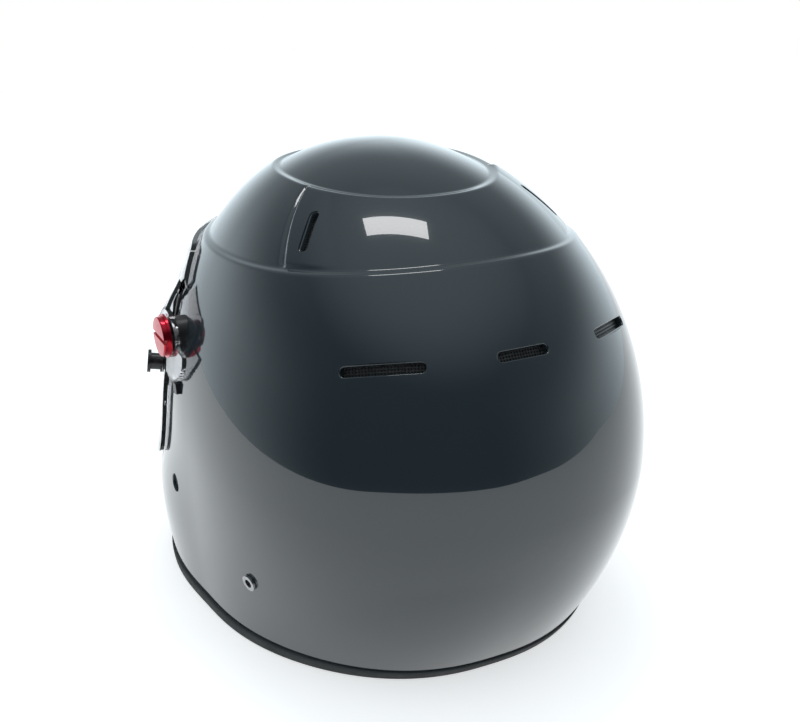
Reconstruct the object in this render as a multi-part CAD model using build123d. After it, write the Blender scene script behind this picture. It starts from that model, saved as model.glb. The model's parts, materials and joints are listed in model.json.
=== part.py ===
from build123d import *
import math
import os

# Frame: +X is the wearer's left, -Y is the front, +Z is up, the trim stands on z = 0.
# Everything is drawn about the upright crown axis and moved at the end, so that the
# middle of the overall box lies on x = y = 0.
# Angles called turn run about the crown axis: 0 is the back, 90 the wearer's left.

# Outline of the shell
half_width = 128.0
rear_reach = 169.0
brow_reach = 141.0
height = 270.0
widest_height = 110.0
crown_shift = 16.0
plan_power = 2.19
rise_power = 2.14
side_power = 2.10
tuck_power = 1.74
side_tuck = 11.0
rear_tuck = 48.0
chin_flare = 11.0
chin_reach = 24.5
chin_height = 51.0
chin_spread = 49.0
chin_turn_share = 0.78
chin_turn_power = 1.5
chin_front_level = 43.0

# Wall and the stepped crown
shell_wall = 3.5
crown_step = 2.5
band_low = 215.3
band_low_ahead = 60.0
band_radius = 867.0
dome_low = 252.7
dome_slope_share = 0.0143
overrun = 40.0

# Rubber bead on the bottom edge
trim_height = 5.5
trim_floor = 2.0
trim_lip = 1.3

# Eye opening, seen from the side
eye_back = 50.0
eye_top = 197.0
eye_bottom = 122.0
eye_corner = 24.0
eye_flare = 3.0
seal_lip = 0.8
seal_cover = 4.5
seal_web = 1.8

# Shield: a thin wall that follows the shell, with a flat ear on each pivot
pivot_ahead = 21.0
pivot_height = 167.5
shield_gap = 1.2
shield_wall = 2.6
shield_over_top = 11.0
shield_over_bottom = 44.0
shield_top_back = 48.0
shield_bottom_back = 54.0
shield_corner = 14.0
ear_plane = 125.8
ear_flat = 15.0
ear_drop = 13.0
ear_slope_share = 0.85
ear_reach = 26.0
ear_neck_top = 14.0
ear_neck_bottom = 24.0
lobe_first_turn = 250.0
lobe_last_turn = 350.0
tooth_count = 10
tooth_first_turn = 268.0
tooth_pitch_turn = 7.0
tooth_radius = 0.9
tab_width = 22.0
tab_reach = 4.5
tab_thick = 2.6
tab_aside = 58.0

# Pivot hardware, stacked from the shell outward
fit_play = 0.05
face_play = 0.1
base_radius = 10.0
base_play = 0.3
bush_radius = 4.2
bush_bore = 2.7
bush_start = 9.5
washer_radius = 9.0
washer_thick = 0.8
cap_flange_radius = 12.3
cap_flange = 1.3
cap_radius = 11.2
cap_height = 3.0
cap_edge = 0.8
cap_slot = 2.4
cap_slot_depth = 1.4
shank_radius = 2.5
nut_flange_radius = 9.5
nut_flange = 1.6
nut_reach = 9.5

# Spring pawl below each ear
pawl_turn = 282.0
pawl_width = 6.0
pawl_depth = 6.0
pawl_gap = 0.4
pawl_nose = 1.0

# Posts that hold clear strips
post_turn = 115.0
post_level = 137.0
post_foot_radius = 6.2
post_foot = 1.3
post_neck_radius = 4.9
post_neck = 5.6
post_rim_radius = 6.7
post_rim = 1.9
screw_radius = 1.9
screw_head_radius = 3.2
screw_sink = 0.3
screw_cone = 1.3
screw_reach = 5.0

# Slots behind and on the crown, each with a fine screen
slot_width = 4.8
rear_slot_length = 28.0
rear_slot_level = 193.8
side_slot_length = 42.0
side_slot_level = 189.6
side_slot_turn = 27.5
side_slot_tilt = 9.0
crown_slot_length = 25.0
crown_slot_width = 4.2
crown_slot_level = 238.8
crown_slot_turn = 51.9
crown_slot_tilt = 109.7
screen_wall = 0.8
screen_margin = 4.0
screen_pitch = 1.6
screen_hole = 1.0

# Chin: front grille and side scoops
grille_width = 62.0
grille_height = 16.0
grille_level = 64.0
grille_corner = 6.0
grille_lip = 4.0
grille_proud = 0.8
grille_back = 1.5
grille_bar = 2.4
grille_bars = 5
grille_rim = 2.4
grille_play = 0.1
chin_screen_pitch = 3.2
chin_screen_hole = 2.0
scoop_turn = 121.0
scoop_level = 86.0
scoop_ball = 42.0
scoop_run = 14.0
scoop_depth = 2.3

# Threaded anchors low on each side, behind
anchor_turn = 62.0
anchor_level = 51.0
anchor_bore = 2.5
anchor_flange_radius = 4.7
anchor_flange = 1.2
anchor_barrel = 3.4
anchor_washer_radius = 4.6
anchor_washer = 0.7
anchor_plate_radius = 9.0
anchor_plate = 2.0
anchor_reach = 7.0
plate_seat = 0.45

# Strap rivets in round pockets
rivet_turn = 101.5
rivet_level = 73.0
rivet_pocket = 5.3
rivet_pocket_depth = 2.1
rivet_head_radius = 4.7
rivet_head = 1.2
rivet_shank = 2.4
rivet_tail_radius = 5.5
rivet_tail = 1.4
rivet_slack = 0.6
rivet_reach = 8.0

# Chin strap: a short half with two rings and a long half with a stud
strap_width = 25.0
strap_thick = 2.0
strap_seat = 2.2
strap_top = 88.0
strap_knee = 42.0
strap_level = 7.6
strap_bend = 6.0
short_end = 66.0
long_end = 12.0
loop_wall = 2.0
ring_wire = 1.6
ring_play = 0.1
ring_step = 4.6
ring_half = 15.8
ring_reach = 19.0
ring_corner = 3.0
ring_bow = 12.0
tip_length = 12.0
tip_wall = 0.8
stud_inset = 26.0
strap_stud_radius = 6.0
strap_stud = 2.2

# Liner, pads and their studs
liner_gap = 1.1
liner_inner = 37.0
liner_front_floor = 199.0
liner_side_floor = 122.0
liner_rear_floor = 52.0
soft_gap = 0.3
comfort_wall = 7.0
comfort_side_floor = 126.0
comfort_front_floor = 202.0
pocket_play = 1.0
chin_pad_inner = 20.0
chin_pad_floor = 20.0
chin_pad_top = 104.0
chin_pad_half = 60.0
chin_pad_front = 95.0
chin_pad_pocket = 9.0
cheek_outer = 9.8
cheek_inner = 44.0
cheek_floor = 14.0
cheek_top = 118.0
cheek_front = 90.0
cheek_back = 22.0
cheek_corner = 16.0
neck_floor = 12.0
neck_top = 48.0
neck_inner = 26.0
neck_start = 34.0
stud_radius = 5.5
stud_places = ((-64.0, 96.0), (-66.0, 40.0), (2.0, 98.0))

# How finely the curved outline is drawn
plan_points = 24
rows_below = 6
rows_above = 11
last_row_share = 0.965
slope_step_share = 0.0001

front_limit = brow_reach + chin_reach + overrun
back_limit = rear_reach + overrun
side_limit = half_width + overrun


def outline(turn, climb, with_chin=True):
    """Point of the base outline: climb -1 is the bottom edge, 0 the widest level, 1 the crown."""
    ahead = max(-math.cos(turn), 0)
    behind = max(math.cos(turn), 0)
    reach = rear_reach if behind > 0 else brow_reach
    plan = abs(math.sin(turn) / half_width) ** plan_power + abs(math.cos(turn) / reach) ** plan_power
    radius = plan ** (-1 / plan_power)
    shift = 0
    if climb >= 0:
        rise = climb * math.pi / 2
        z = widest_height + (height - widest_height) * math.sin(rise) ** (2 / rise_power)
        radius = radius * max(math.cos(rise), 0) ** (2 / side_power)
        shift = -crown_shift * math.sin(rise) ** 2
    else:
        z = widest_height * (1 + climb)
        tuck = side_tuck + (rear_tuck - side_tuck) * behind**2 - (chin_flare + side_tuck) * ahead
        radius = radius - tuck * (-climb) ** tuck_power
    if with_chin:
        swell = 1 - math.exp(-((ahead / chin_turn_share) ** chin_turn_power))
        radius = radius + chin_reach * swell * math.exp(-(((z - chin_height) / chin_spread) ** 2))
    return Vector(radius * math.sin(turn), radius * math.cos(turn) + shift, z)


def outward(turn, climb, with_chin=True):
    """Unit vector square to the base outline, pointing out of the helmet."""
    above = min(climb + slope_step_share, 1)
    below = max(climb - slope_step_share, -1)
    left = outline(turn + slope_step_share, climb, with_chin)
    right = outline(turn - slope_step_share, climb, with_chin)
    up = outline(turn, above, with_chin) - outline(turn, below, with_chin)
    normal = up.cross(left - right).normalized()
    if normal.dot(outline(turn, climb, with_chin) - Vector(0, 0, widest_height)) < 0:
        normal = -normal
    return normal


def climb_at(z):
    """Climb whose level on the base outline is z."""
    if z < widest_height:
        return z / widest_height - 1
    share = (z - widest_height) / (height - widest_height)
    return math.asin(share ** (rise_power / 2)) / (math.pi / 2)


def core(depth, with_chin=True):
    """Solid inside the base outline, its wall moved inward by depth."""
    climbs = [-1 + i / rows_below for i in range(rows_below)]
    climbs += [last_row_share * i / rows_above for i in range(rows_above + 1)]
    turns = [2 * math.pi * i / plan_points for i in range(plan_points)]
    seams = [i / plan_points for i in range(plan_points + 1)]
    rings = []
    for climb in climbs:
        points = [outline(a, climb, with_chin) - outward(a, climb, with_chin) * depth for a in turns]
        if climb == climbs[0]:
            slopes = [outline(a, climb + slope_step_share, with_chin) - outline(a, climb, with_chin) for a in turns]
            points = [p - v * (p.Z / v.Z) for p, v in zip(points, slopes)]
        if climb == climbs[-1]:
            level = sum(p.Z for p in points) / plan_points
            points = [Vector(p.X, p.Y, level) for p in points]
        rings.append(Wire([Edge.make_spline(points, periodic=True, parameters=seams)]))
    return Solid.make_loft(rings)


def side_face(points, radius=0, rounded=()):
    """Face in the side view through (y, z) points, with the numbered corners rounded."""
    corners = [Vector(0, y, z) for y, z in points]
    face = Face(Wire.make_polygon(corners, close=True))
    for i in rounded:
        near = face.vertices().sort_by_distance(corners[i])[0]
        face = face.fillet_2d(radius, [near])
    return face


def across(face, span=side_limit):
    """Solid swept to both sides from a face drawn in the side view."""
    return extrude(face, amount=span, dir=(1, 0, 0), both=True)


def slab(low, high, front=-front_limit, back=back_limit, span=side_limit):
    """Box between two levels and two places along Y."""
    box = Box(2 * span, back - front, high - low)
    return box.moved(Location((0, (front + back) / 2, (low + high) / 2)))


def band_line(y):
    return band_low + (y + band_low_ahead) ** 2 / (2 * band_radius)


def under_band(drop):
    """Everything below the lower step, whose line is a wide arc in the side view."""
    ends = [Vector(0, y, band_line(y) - drop) for y in (-front_limit, back_limit)]
    middle = Vector(0, -band_low_ahead, band_low - drop)
    top = Edge.make_three_point_arc(ends[0], middle, ends[1])
    feet = [Vector(0, back_limit, -overrun), Vector(0, -front_limit, -overrun)]
    rest = Wire.make_polygon([ends[1], feet[0], feet[1], ends[0]], close=False)
    return across(Face(Wire([top] + list(rest.edges()))))


def under_dome(drop):
    """Everything below the upper step, a plane that rises a little to the back."""
    line = [(y, dome_low + dome_slope_share * y - drop) for y in (-front_limit, back_limit)]
    return across(side_face(line + [(back_limit, -overrun), (-front_limit, -overrun)]))


def stepped(depth, drop=0):
    """The base outline with its crown in three layers, each one lower down standing further out."""
    low_zone = under_band(drop)
    high_zone = under_dome(drop)
    body = core(depth) & low_zone
    band = (core(depth + crown_step) & high_zone) - low_zone
    dome = core(depth + 2 * crown_step) - high_zone
    return body.fuse(band, dome).solid()


def on_skin(turn_degrees, level):
    """Place on the base outline: its Z axis points out and its X axis lies level."""
    turn = math.radians(turn_degrees)
    climb = climb_at(level)
    out = outward(turn, climb)
    return Location(Plane(outline(turn, climb), x_dir=Vector(0, 0, 1).cross(out), z_dir=out))


def rod(place, radius, start, end):
    """Cylinder along the Z axis of a place, from start to end."""
    return place * Pos(0, 0, start) * Cylinder(radius, end - start, align=(Align.CENTER, Align.CENTER, Align.MIN))


def pin(radius, start, end):
    """Cylinder on the pivot axis at the wearer's left, from one x to another."""
    place = Location(Plane((0, -pivot_ahead, pivot_height), x_dir=(0, 1, 0), z_dir=(1, 0, 0)))
    return rod(place, radius, start, end)


def punch(place, shape, inward_reach, outward_reach):
    """Solid swept through the wall from a flat shape laid on a place."""
    return place * Pos(0, 0, -inward_reach) * extrude(shape, amount=inward_reach + outward_reach)


def mirrored(piece):
    return piece.mirror(Plane.YZ)


def holes(width, depth, pitch, size):
    """Square holes in rows over a width and a depth."""
    columns = int((width - size) / pitch) + 1
    lines = int((depth - size) / pitch) + 1
    spots = GridLocations(pitch, pitch, columns, lines)
    return Sketch() + [spot * Rectangle(size, size) for spot in spots]


parts = {}


def keep(name, piece):
    """Record a left or central piece under its name."""
    parts[name] = piece


def keep_pair(name, piece):
    """Record a piece on the wearer's left and its mirror image on the right."""
    parts[name + "_left"] = piece
    parts[name + "_right"] = mirrored(piece)


# Solids that several pieces share
skin = stepped(0)
hollow = stepped(shell_wall, shell_wall)
inner_face = core(shell_wall)


def eye_face(grow):
    """Side view of the eye opening, enlarged all round by grow."""
    back = -eye_back + grow
    points = [(back, eye_bottom - grow), (back, eye_top + grow)]
    points += [(-front_limit, eye_top + eye_flare + grow), (-front_limit, eye_bottom - eye_flare - grow)]
    return side_face(points, eye_corner + grow, (0, 1))


# Slot places, left ones and the middle one
side_slot = on_skin(side_slot_turn, side_slot_level) * Rot(0, 0, side_slot_tilt)
rear_slot = on_skin(0, rear_slot_level)
crown_slot = on_skin(crown_slot_turn, crown_slot_level) * Rot(0, 0, crown_slot_tilt)
slot_punch = overrun / 2
slots = {
    "rear_screen": (rear_slot, rear_slot_length, slot_width, 0),
    "side_screen": (side_slot, side_slot_length, slot_width, 0),
    "crown_screen": (crown_slot, crown_slot_length, crown_slot_width, crown_step),
}

anchor = on_skin(anchor_turn, anchor_level)
rivet = on_skin(rivet_turn, rivet_level)
scoop = on_skin(scoop_turn, scoop_level)


def grille_shape(grow):
    width = grille_width + 2 * grow
    tall = grille_height + 2 * grow
    face = RectangleRounded(width, tall, grille_corner + grow)
    place = Location(Plane((0, -chin_pad_front, grille_level), x_dir=(1, 0, 0), z_dir=(0, -1, 0)))
    return extrude(place * face, amount=front_limit - chin_pad_front)


# Outer shell
shell = (skin - hollow) - slab(-overrun, trim_floor)
shell = shell - across(eye_face(0))
for place, length, width, extra in slots.values():
    cut = punch(place, SlotOverall(length, width), slot_punch, slot_punch)
    shell = shell - cut
    if place is not rear_slot:
        shell = shell - mirrored(cut)
shell = shell - grille_shape(0)
scoop_centre = Pos(0, 0, scoop_ball - scoop_depth)
scoop_bar = Rot(90, 0, 0) * Cylinder(scoop_ball, scoop_run)
scoop_cut = scoop_bar + Pos(0, scoop_run / 2, 0) * Sphere(scoop_ball) + Pos(0, -scoop_run / 2, 0) * Sphere(scoop_ball)
wall_cuts = [
    pin(bush_radius, half_width / 2, side_limit),
    rod(anchor, anchor_barrel, -anchor_reach - overrun / 2, overrun / 2),
    rod(rivet, rivet_pocket, -rivet_pocket_depth, overrun / 2),
    rod(rivet, rivet_shank, -rivet_reach - overrun / 2, overrun / 2),
    scoop * scoop_centre * scoop_cut,
]
for cut in wall_cuts:
    shell = shell - cut - mirrored(cut)
shell = shell.solid()
keep("outer_shell", shell)

# Rubber bead on the bottom edge
bead = (core(-trim_lip) & slab(0, trim_height)) - core(shell_wall + trim_lip) - shell
keep("edge_trim", bead.solid())

# Rubber seal round the eye opening
seal_zone = across(eye_face(seal_cover)) - across(eye_face(-seal_web))
seal = (core(-seal_lip) & seal_zone) - core(shell_wall + seal_lip) - shell
keep("eyeport_seal", seal.solid())


def ear_pod(lift):
    """Flat disc and sloping skirt about the pivot axis, its flat face lifted off the ear plane."""
    face_x = ear_plane + lift
    skirt = ear_flat + ear_drop / ear_slope_share
    profile = [(0, face_x - ear_drop), (0, face_x), (ear_flat, face_x), (skirt, face_x - ear_drop)]
    points = [Vector(x, -pivot_ahead + r, pivot_height) for r, x in profile]
    face = Face(Wire.make_polygon(points, close=True))
    axis = Axis((0, -pivot_ahead, pivot_height), (1, 0, 0))
    return revolve(face, axis, 360)


def turned(angle, reach):
    """Point of the side view at an angle and a distance from the pivot."""
    a = math.radians(angle)
    return (-pivot_ahead + reach * math.cos(a), pivot_height + reach * math.sin(a))


def circle_face(radius, y, z):
    return Plane((0, y, z), x_dir=(0, 1, 0), z_dir=(1, 0, 0)) * Circle(radius)


# Side view of the shield: front part, round ear and toothed lobe
shield_top = eye_top + shield_over_top
shield_bottom = eye_bottom - shield_over_bottom
front_points = [
    (-pivot_ahead, pivot_height + ear_neck_top),
    (-shield_top_back, shield_top),
    (-front_limit, shield_top + eye_flare),
    (-front_limit, shield_bottom - eye_flare),
    (-shield_bottom_back, shield_bottom),
    (-pivot_ahead - ear_flat, pivot_height - ear_neck_bottom),
    (-pivot_ahead, pivot_height),
]
front_face = side_face(front_points, shield_corner, (1, 4))
lobe_middle = (lobe_first_turn + lobe_last_turn) / 2
lobe_arc = Edge.make_three_point_arc(
    *[Vector(0, *turned(a, ear_reach)) for a in (lobe_first_turn, lobe_middle, lobe_last_turn)]
)
lobe_rest = Wire.make_polygon([lobe_arc @ 1, Vector(0, -pivot_ahead, pivot_height), lobe_arc @ 0], close=False)
lobe_face = Face(Wire([lobe_arc] + list(lobe_rest.edges())))
ear_disc = across(circle_face(ear_flat, -pivot_ahead, pivot_height))
shield_zone = across(front_face) + ear_disc + across(lobe_face)
for i in range(tooth_count):
    notch = turned(tooth_first_turn + i * tooth_pitch_turn, ear_reach)
    shield_zone = shield_zone - across(circle_face(tooth_radius, *notch))

# The lobe is a flat plate on the ear plane wherever the shell falls away behind it
lobe_plate = extrude(lobe_face, amount=ear_plane + shield_wall, dir=(1, 0, 0))
lobe_inside = extrude(lobe_face, amount=ear_plane, dir=(1, 0, 0))
outer_pods = ear_pod(shield_wall) + lobe_plate
inner_pods = ear_pod(0) + lobe_inside
shield_out = core(-shield_gap - shield_wall) + outer_pods + mirrored(outer_pods)
shield_in = core(-shield_gap) + inner_pods + mirrored(inner_pods)
shield = (shield_out & shield_zone) - shield_in
ear_hole = pin(bush_radius + fit_play, half_width / 2, side_limit)
shield = shield - ear_hole - mirrored(ear_hole)

post_place = on_skin(post_turn, post_level)
screw_face = shield_gap + screw_sink
screw_cut = rod(post_place, screw_radius, screw_face - shield_gap, shield_gap + shield_wall + overrun)
screw_seat = Cone(screw_head_radius, screw_radius, screw_cone, align=(Align.CENTER, Align.CENTER, Align.MIN))
screw_cut = screw_cut + rod(post_place, screw_head_radius, 0, screw_face)
screw_cut = screw_cut + post_place * Pos(0, 0, screw_face) * screw_seat
shield = (shield - screw_cut - mirrored(screw_cut)).solid()

# Thumb tab on the lower edge, ahead of the wearer's left
tab_low = shield_bottom + tab_thick
tab_box = Box(tab_width, front_limit, tab_thick, align=(Align.CENTER, Align.MAX, Align.MIN))
tab_box = Pos(tab_aside, 0, tab_low) * tab_box
tab = (core(-shield_gap - shield_wall - tab_reach) & tab_box) - core(-shield_gap)
shield = (shield + tab).solid()
keep("face_shield", shield)

# Posts and their sunk screws
post_start = shield_gap + shield_wall
neck_start_at = post_start + post_foot
rim_start = neck_start_at + post_neck
post = rod(post_place, post_foot_radius, post_start, neck_start_at)
post = post + rod(post_place, post_neck_radius, neck_start_at, rim_start)
post = post + rod(post_place, post_rim_radius, rim_start, rim_start + post_rim)
post = (post - rod(post_place, screw_radius, post_start, post_start + screw_reach)).solid()
keep_pair("tear_off_post", post)
screw = post_place * Pos(0, 0, screw_face) * screw_seat
screw = screw + rod(post_place, screw_radius, screw_face + screw_cone, post_start + screw_reach)
keep_pair("post_screw", screw.solid())

# Pivot stack on each side
skin_at_pivot = on_skin(90, pivot_height).position.X
base_face = ear_plane - base_play
base_plate = pin(base_radius, half_width / 2, base_face) - skin - pin(bush_radius, half_width / 2, side_limit)
keep_pair("pivot_base", base_plate.solid())
ear_outside = ear_plane + shield_wall
washer_start = ear_outside + face_play
washer_end = washer_start + washer_thick
bush_back = skin_at_pivot - bush_start
bushing = pin(bush_radius, bush_back + nut_flange, washer_start) - pin(bush_bore, half_width / 2, side_limit)
keep_pair("pivot_bushing", bushing.solid())
washer = pin(washer_radius, washer_start, washer_end) - pin(bush_bore, half_width / 2, side_limit)
keep_pair("pivot_washer", washer.solid())
cap = pin(cap_flange_radius, washer_end, washer_end + cap_flange)
knob = pin(cap_radius, washer_end + cap_flange, washer_end + cap_flange + cap_height)
knob = fillet(knob.edges().sort_by(Axis.X)[-1], cap_edge)
cap_top = washer_end + cap_flange + cap_height
groove = Pos(cap_top, -pivot_ahead, pivot_height) * Box(2 * cap_slot_depth, 2 * cap_radius, cap_slot)
nut_back = bush_back - nut_reach + nut_flange
cap = cap + knob + pin(shank_radius, nut_back, washer_end) - groove
keep_pair("pivot_cap", cap.solid())
nut = pin(nut_flange_radius, bush_back, bush_back + nut_flange) + pin(bush_radius, nut_back, bush_back)
nut = nut - pin(shank_radius, half_width / 2, side_limit)
keep_pair("pivot_nut", nut.solid())

# Spring pawl: a stem on the shell whose nose stands just outside the toothed lobe
nose_at = ear_reach + pawl_gap + pawl_nose
pawl_y, pawl_z = turned(pawl_turn, nose_at + pawl_depth / 2)
pawl_plane = Plane((0, pawl_y, pawl_z), x_dir=(0, 1, 0), z_dir=(1, 0, 0))
pawl_block = Rot(0, 0, pawl_turn) * Rectangle(pawl_depth, pawl_width)
pawl = extrude(pawl_plane * pawl_block, amount=ear_outside)
pawl = pawl + extrude(circle_face(pawl_nose, *turned(pawl_turn, nose_at)), amount=ear_outside, dir=(1, 0, 0))
pawl = (pawl - skin).solids().sort_by(Axis.X)[-1]
keep_pair("detent_pawl", pawl)

# Fine screens behind the slots
for name, (place, length, width, extra) in slots.items():
    depth = shell_wall + extra + face_play
    layer = core(depth) - core(depth + screen_wall)
    outer = SlotOverall(length + 2 * screen_margin, width + 2 * screen_margin)
    mesh = layer & punch(place, outer, slot_punch, slot_punch)
    mesh = mesh - punch(place, holes(length, width, screen_pitch, screen_hole), slot_punch, slot_punch)
    mesh = mesh.solids().sort_by(SortBy.VOLUME)[-1]
    if place is rear_slot:
        keep(name, mesh)
    else:
        keep_pair(name, mesh)

# Chin grille, lipped behind the wall, and its screen
window_width = (grille_width - 2 * grille_rim - (grille_bars - 1) * grille_bar) / grille_bars
window_pitch = window_width + grille_bar
window = RectangleRounded(window_width, grille_height - 2 * grille_rim, grille_rim / 2)
chin_place = Location(Plane((0, -chin_pad_front, grille_level), x_dir=(1, 0, 0), z_dir=(0, -1, 0)))
windows = [spot * window for spot in GridLocations(window_pitch, 0, grille_bars, 1)]
window_cut = extrude(chin_place * (Sketch() + windows), amount=front_limit - chin_pad_front)
plug = (core(-grille_proud) & grille_shape(-grille_play)) - core(shell_wall + grille_back)
lip = (inner_face & grille_shape(grille_lip)) - core(shell_wall + grille_back)
grille = (plug + lip - window_cut).solid()
keep("chin_grille", grille)
screen_depth = shell_wall + grille_back
chin_mesh = (core(screen_depth) & grille_shape(grille_lip)) - core(screen_depth + screen_wall)
chin_holes = holes(grille_width, grille_height, chin_screen_pitch, chin_screen_hole)
chin_mesh = chin_mesh - extrude(chin_place * chin_holes, amount=front_limit - chin_pad_front)
keep("chin_screen", chin_mesh.solids().sort_by(SortBy.VOLUME)[-1])

# Threaded anchors: insert, rubber washer outside, plate inside
insert = rod(anchor, anchor_barrel, -anchor_reach, anchor_washer)
insert = insert + rod(anchor, anchor_flange_radius, anchor_washer, anchor_washer + anchor_flange)
insert = (insert - rod(anchor, anchor_bore, -anchor_reach, overrun)).solid()
keep_pair("anchor_insert", insert)
ring = rod(anchor, anchor_washer_radius, fit_play, anchor_washer) - rod(anchor, anchor_barrel, -overrun, overrun)
keep_pair("anchor_washer", ring.solid())
plate_start = shell_wall + plate_seat
backing = rod(anchor, anchor_plate_radius, -plate_start - anchor_plate, -plate_start)
backing = backing - rod(anchor, anchor_barrel, -overrun, overrun)
keep_pair("anchor_plate", backing.solid())

# Strap rivets
tail_start = shell_wall + strap_seat + strap_thick + rivet_slack
stud = rod(rivet, rivet_head_radius, -rivet_pocket_depth, -rivet_pocket_depth + rivet_head)
stud = stud + rod(rivet, rivet_shank, -tail_start - rivet_tail, -rivet_pocket_depth)
stud = stud + rod(rivet, rivet_tail_radius, -tail_start - rivet_tail, -tail_start)
keep_pair("strap_rivet", stud.solid())

# Chin strap halves, drawn as a bent line in the front view
rivet_y = rivet.position.Y
strap_depth = shell_wall + strap_seat + strap_thick / 2


def strap_point(level):
    """Point of the strap's middle line at a level, as far inside the shell as its rivet holds it."""
    skin_point = outline(math.radians(rivet_turn), climb_at(level))
    return (skin_point.X - strap_depth, level)


def strap(end):
    """Strap from above its rivet down the inside of the shell and inward to x = end."""
    line = FilletPolyline(
        strap_point(strap_top),
        strap_point(rivet_level),
        strap_point(strap_knee),
        strap_point(strap_level),
        (end, strap_level),
        radius=strap_bend,
    )
    face = Plane.XZ * trace(line, strap_thick)
    return Pos(0, rivet_y, 0) * extrude(face, amount=strap_width / 2, both=True)


rivet_hole = rod(rivet, rivet_shank, -overrun, overrun)
rivet_hole = rivet_hole + rod(rivet, rivet_tail_radius + face_play, -overrun, face_play - tail_start)
loop_bore = ring_wire + ring_play
loop_outer = SlotOverall(ring_step + 2 * (loop_bore + loop_wall), 2 * (loop_bore + loop_wall), rotation=90)
loop_inner = SlotOverall(ring_step + 2 * loop_bore, 2 * loop_bore, rotation=90)
loop_place = Pos(short_end, rivet_y, strap_level)
loop_solid = loop_place * extrude(Plane.XZ * loop_outer, amount=strap_width / 2, both=True)
loop_hole = loop_place * extrude(Plane.XZ * loop_inner, amount=strap_width, both=True)
short_strap = (strap(short_end + loop_bore) + loop_solid - loop_hole - rivet_hole).solid()
keep("chin_strap_short", short_strap)
long_strap = mirrored(strap(long_end) - rivet_hole).solid()
keep("chin_strap_long", long_strap)
tip_wrap = Box(tip_length, strap_width + 2 * tip_wall, strap_thick + 2 * tip_wall)
tip = Pos(-long_end - tip_length / 2 + tip_wall, rivet_y, strap_level) * tip_wrap - long_strap
keep("strap_tip", tip.solid())
stud_up = strap_level + strap_thick / 2
strap_button = Pos(-long_end - stud_inset, rivet_y, stud_up + strap_stud / 2) * Cylinder(strap_stud_radius, strap_stud)
keep("strap_stud", strap_button)


def d_ring(level):
    """Wire ring with a straight bar in the strap loop and a round bow that reaches inward."""
    middle = short_end - ring_reach / 2
    frame = Pos(middle, rivet_y, level) * Rectangle(ring_reach, 2 * ring_half)
    bar_corners = frame.vertices().group_by(Axis.X)[-1]
    frame = fillet(bar_corners, ring_corner)
    bow_corners = frame.vertices().group_by(Axis.X)[0]
    frame = fillet(bow_corners, ring_bow)
    section = Plane((short_end, rivet_y, level), x_dir=(1, 0, 0), z_dir=(0, 1, 0)) * Circle(ring_wire)
    return sweep(section, path=frame.wires()[0]).solid()


keep("ring_upper", d_ring(strap_level + ring_step / 2))
keep("ring_lower", d_ring(strap_level - ring_step / 2))

# Impact liner: foam against the shell, open at the face, with pockets for hidden hardware
liner = stepped(shell_wall + liner_gap, shell_wall) - slab(-overrun, liner_rear_floor)
liner = liner - core(liner_inner, False)
liner = liner - slab(-overrun, liner_side_floor, back=cheek_back)
liner = liner - slab(-overrun, liner_front_floor, back=-eye_back + seal_cover + soft_gap)
pockets = [
    pin(nut_flange_radius + pocket_play, nut_back - pocket_play, side_limit),
    rod(anchor, anchor_plate_radius + pocket_play, -anchor_reach - pocket_play, overrun),
]
for pocket in pockets:
    liner = liner - pocket - mirrored(pocket)
liner = liner.solids().sort_by(SortBy.VOLUME)[-1]
keep("impact_liner", liner)

# Padded cloth lining inside the foam
comfort_outer = liner_inner + soft_gap
comfort = core(comfort_outer, False) - slab(-overrun, comfort_side_floor)
comfort = comfort - core(comfort_outer + comfort_wall, False)
comfort = comfort - slab(-overrun, comfort_front_floor, back=-eye_back + seal_cover + soft_gap)
keep("comfort_liner", comfort.solid())

# Foam inside the chin bar, hollowed behind the grille
chin_zone = slab(chin_pad_floor, chin_pad_top, back=-chin_pad_front, span=chin_pad_half)
chin_foam = (core(shell_wall + soft_gap) & chin_zone) - core(chin_pad_inner, False)
chin_duct = grille_shape(grille_lip + pocket_play) - core(chin_pad_pocket)
chin_foam = (chin_foam - chin_duct).solids().sort_by(SortBy.VOLUME)[-1]
keep("chin_pad", chin_foam)

# Cheek pads and the studs that hold them off the shell
cheek_points = [
    (-cheek_front, cheek_floor),
    (cheek_back, cheek_floor),
    (cheek_back, cheek_top),
    (-cheek_front, cheek_top),
]
cheek_zone = extrude(side_face(cheek_points, cheek_corner, (0, 1, 2, 3)), amount=side_limit, dir=(1, 0, 0))
pad_side = core(cheek_outer)
cheek = (pad_side & cheek_zone) - core(cheek_inner, False)
keep_pair("cheek_pad", cheek.solids().sort_by(SortBy.VOLUME)[-1])
stud_set = []
for y, z in stud_places:
    turn = math.degrees(math.atan2(half_width, y))
    place = on_skin(turn, z)
    stud_set.append((rod(place, stud_radius, -cheek_outer - stud_radius, 0) & inner_face) - pad_side)
keep("cheek_studs_left", Compound(children=[s.solid() for s in stud_set]))
keep("cheek_studs_right", Compound(children=[mirrored(s.solid()) for s in stud_set]))

# Roll of padding round the nape
nape = (core(shell_wall + soft_gap) & slab(neck_floor, neck_top, front=neck_start)) - core(neck_inner)
for pocket in pockets[1:]:
    nape = nape - pocket - mirrored(pocket)
keep("neck_roll", nape.solids().sort_by(SortBy.VOLUME)[-1])

# Move the middle of the overall box to x = y = 0 and write one file per piece
front_reach = -outline(math.pi, climb_at(chin_front_level)).Y
to_middle = Pos(0, (front_reach - rear_reach) / 2, 0)
os.makedirs("parts", exist_ok=True)
for name, piece in parts.items():
    export_step(to_middle * piece, f"parts/{name}.step")
    print(name, len(piece.solids()), piece.is_valid)
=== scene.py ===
import json
import math

import bpy
import numpy as np
from bpy.props import FloatProperty, FloatVectorProperty, IntProperty, PointerProperty
from mathutils import Matrix, Vector


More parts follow.
